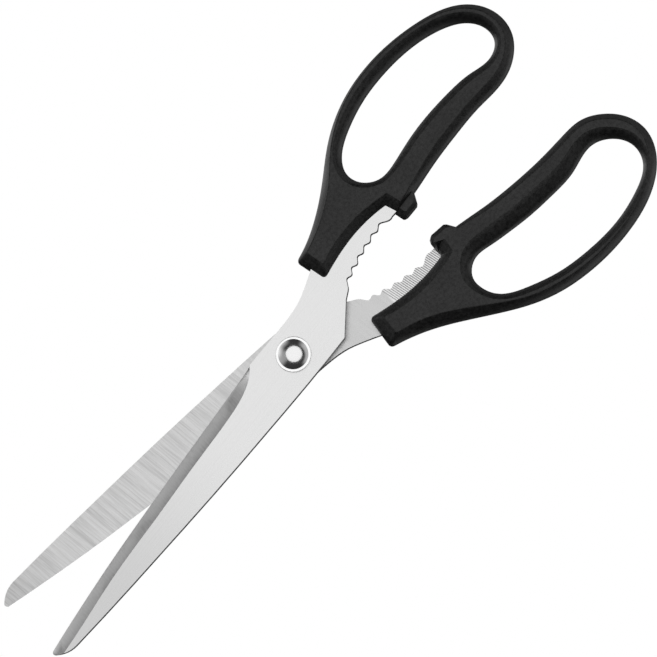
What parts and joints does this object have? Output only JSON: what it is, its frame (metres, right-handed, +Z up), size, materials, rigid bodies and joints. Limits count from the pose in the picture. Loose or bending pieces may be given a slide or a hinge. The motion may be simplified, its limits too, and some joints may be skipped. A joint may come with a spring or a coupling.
{
  "type": "poultry shears",
  "caption": "Riveted poultry shears: long flat blades with a ground bevel, a toothed jaw behind the pivot, and black moulded finger-loop handles.",
  "frame": {"origin": "on the pivot axis, at the middle of the rivet's flat tail face, in the plane the shears rest on", "axes": "+Z up along the pivot axis, +X from the pivot towards the handles, +Y towards the front handle"},
  "size_m": [0.2625, 0.1032, 0.011],
  "materials": {
    "blade_steel": "satin, ground bevels",
    "handle_plastic": "fine moulded grain",
    "rivet_steel": "polished",
    "washer_steel": "polished edge"
  },
  "bodies": {
    "rear_half": {"rear_blade": "blade_steel", "rear_handle": "handle_plastic", "pivot_rivet": "rivet_steel", "rear_washer": "washer_steel", "front_washer": "washer_steel"},
    "front_half": {"front_blade": "blade_steel", "front_handle": "handle_plastic"}
  },
  "joints": [
    {"name": "pivot", "type": "hinge", "parent": "rear_half", "child": "front_half", "pos_m": [0, 0, 0.0055], "axis": [0, 0, 1], "range_deg": [-9.5, 114]}
  ]
}
